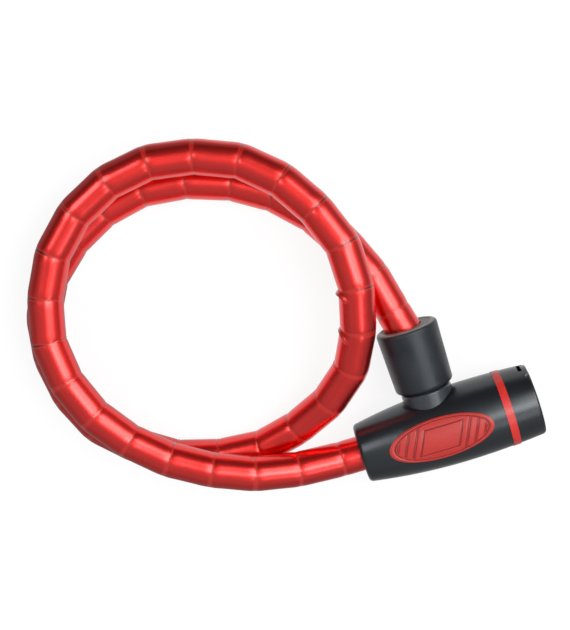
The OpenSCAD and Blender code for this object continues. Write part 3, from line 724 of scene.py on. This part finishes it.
def make_badge():
    """The oval badge: a raised rim, slanting bars at its ends and a plain middle, with a closed back."""
    rings, sides = 90, 240
    edge_u, edge_v = 1.004, 1.008
    edge_height, back = 0.2 * MM, -0.5 * MM
    angles = [2 * math.pi * side / sides for side in range(sides)]
    points, faces, grooves = [], [], []

    def on_barrel(u, v, height):
        x = BADGE_X + u * BADGE_LEN / 2
        radius = barrel_radius(x - CABLE_END_OF_BARREL.x) + height
        y = v * BADGE_W / 2
        return (x, BARREL_MOUTH.y + y, BARREL_MOUTH.z + math.sqrt(radius * radius - y * y))

    def add_face_point(u, v):
        height, groove = badge_relief(u, v)
        points.append(on_barrel(u, v, height))
        grooves.append(groove)

    add_face_point(0, 0)
    for ring in range(1, rings + 1):
        reach = ring / rings
        for angle in angles:
            add_face_point(reach * math.cos(angle), reach * math.sin(angle))
    for height in (edge_height, back):
        for angle in angles:
            points.append(on_barrel(edge_u * math.cos(angle), edge_v * math.sin(angle), height))
    points.append(on_barrel(0, 0, back))
    grooves += [0.0] * (len(points) - len(grooves))
    middle_of_back = len(points) - 1
    foot = middle_of_back - sides
    for side in range(sides):
        follow = (side + 1) % sides
        faces.append((0, 1 + side, 1 + follow))
        # between the face's rings, then down to the edge and to the back
        for ring in range(rings + 1):
            a, b = 1 + ring * sides, 1 + (ring + 1) * sides
            faces.append((a + side, b + side, b + follow, a + follow))
        faces.append((foot + follow, foot + side, middle_of_back))
    mesh = bpy.data.meshes.new("badge_face")
    mesh.from_pydata(points, [], faces)
    # how deep each groove is, where the badge's finish paints shade
    mesh.attributes.new("groove", "FLOAT", "POINT").data.foreach_set("value", grooves)
    mesh.polygons.foreach_set("use_smooth", [True] * len(mesh.polygons))
    mesh.set_sharp_from_angle(angle=math.radians(50))
    mesh.materials.append(FINISHES["badge_red"])
    badge = bpy.data.objects.new("badge_face", mesh)
    bpy.context.scene.collection.objects.link(badge)
    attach(badge, "head")
    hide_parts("badge")


make_badge()


# ---- Table and light ----

WHITE = (1, 1, 1, 1)


def on_table(right, up):
    """A place on the table, to the right and up in the picture from its middle."""
    middle = Vector((CAMERA_LOOKS_AT.x, CAMERA_LOOKS_AT.y, 0))
    return middle + PICTURE_RIGHT * right + PICTURE_UP * up


def towards(turn):
    """The level direction at a turn in degrees from the picture's right, towards its top."""
    return PICTURE_RIGHT * math.cos(math.radians(turn)) + PICTURE_UP * math.sin(math.radians(turn))


def make_table():
    """A wide pale table that shows as white and keeps a soft shadow.

    What is glossy sees a painted pool of light on it, white near the object and dimmer far away."""
    half_width = 15
    paint_grey = 0.16
    seen_glow = 0.87
    # a painted pool of light that only reflections see: white around its middle, and dimmer beyond
    pool_of_light_middle = on_table(0.035, 0.035)
    white_to, dim_from, dim_glow = 0.10, 0.17, 0.3
    material = bpy.data.materials.new("white table")
    material.use_nodes = True
    tree = material.node_tree
    tree.nodes.clear()
    path = tree.nodes.new("ShaderNodeLightPath").outputs
    paint = add_node(tree, "ShaderNodeBsdfDiffuse", {"Color": rgba([paint_grey] * 3)}).outputs[0]
    glow = add_node(tree, "ShaderNodeEmission", {"Color": WHITE, "Strength": seen_glow}).outputs[0]
    lit = add_node(tree, "ShaderNodeAddShader", {0: paint, 1: glow}).outputs[0]
    seen = add_node(tree, "ShaderNodeMixShader", {0: path["Is Camera Ray"], 1: paint, 2: lit}).outputs[0]
    away = vector_maths(tree, "DISTANCE", object_place(tree), tuple(pool_of_light_middle), output=1)
    # the glow of the painted pool of light, which only glossy and transmission rays see
    pool_of_light_glow = ramp(tree, away, white_to, dim_from, 1.0, dim_glow, smooth=True)
    sheen = add_node(tree, "ShaderNodeEmission", {"Color": WHITE, "Strength": pool_of_light_glow}).outputs[0]
    mirrored = maths(tree, "MAXIMUM", path["Is Glossy Ray"], path["Is Transmission Ray"])
    shown = add_node(tree, "ShaderNodeMixShader", {0: mirrored, 1: seen, 2: sheen}).outputs[0]
    add_node(tree, "ShaderNodeOutputMaterial", {"Surface": shown})
    mesh = bpy.data.meshes.new("table")
    corners = ((-1, -1), (1, -1), (1, 1), (-1, 1))
    mesh.from_pydata([(x * half_width, y * half_width, 0) for x, y in corners], [], [(0, 1, 2, 3)])
    mesh.materials.append(material)
    table = bpy.data.objects.new("table", mesh)
    bpy.context.scene.collection.objects.link(table)


def make_room():
    """A grey room that is dimmer towards the horizon, and dimmest behind the object on the left."""
    # heights over the horizon, up to 1 overhead, and the grey there
    greys = ((0.0, 0.29), (0.3, 0.325), (0.5, 0.44), (1.0, 0.46))
    dim_side = towards(118)
    dim_from, dim_full, dimmed = 0.2, 0.68, 0.75
    world = bpy.data.worlds.new("room")
    bpy.context.scene.world = world
    world.use_nodes = True
    tree = world.node_tree
    direction = add_node(tree, "ShaderNodeTexCoord").outputs["Generated"]
    height = add_node(tree, "ShaderNodeSeparateXYZ", {0: direction}).outputs["Z"]
    heights = add_node(tree, "ShaderNodeValToRGB", {0: height})
    steps = heights.color_ramp
    steps.interpolation = "EASE"
    while len(steps.elements) < len(greys):
        steps.elements.new(0.5)
    for element, (at, grey) in zip(steps.elements, greys):
        element.position = at
        element.color = (grey, grey, grey, 1)
    to_dim_side = vector_maths(tree, "DOT_PRODUCT", direction, tuple(dim_side), output=1)
    dim = ramp(tree, to_dim_side, dim_from, dim_full, 0, dimmed, smooth=True)
    room = mix_colour(tree, dim, heights.outputs[0], (0, 0, 0, 1))
    tree.links.new(room, tree.nodes["Background"].inputs["Color"])


def make_lamp(name, turn, lean, distance, width, depth, glow):
    """A soft box seen from the object at a turn from the picture's right and a lean from overhead.

    glow is its radiance, where 1 shows as white."""
    data = bpy.data.lights.new(name, "AREA")
    data.shape = "RECTANGLE"
    data.size, data.size_y = width, depth
    data.energy = glow * math.pi * width * depth
    lamp = bpy.data.objects.new(name, data)
    middle = on_table(0, 0)
    level = towards(turn) * distance * math.sin(math.radians(lean))
    place = middle + level + Vector((0, 0, distance * math.cos(math.radians(lean))))
    lamp.matrix_world = facing(place, middle, PICTURE_RIGHT)
    bpy.context.scene.collection.objects.link(lamp)


make_table()
make_room()
make_lamp("soft box on the right", turn=29, lean=33, distance=1.7, width=1.15, depth=1.28, glow=4.0)
make_lamp("soft box overhead", turn=5, lean=12, distance=1.75, width=0.62, depth=0.55, glow=2.8)
make_lamp(
    "soft box at the near right", turn=316, lean=33, distance=1.75, width=0.55, depth=0.55, glow=1.95
)
make_lamp("soft box on the left", turn=149, lean=36, distance=1.6, width=0.6, depth=0.6, glow=3.85)
bpy.context.scene.view_settings.view_transform = "Standard"
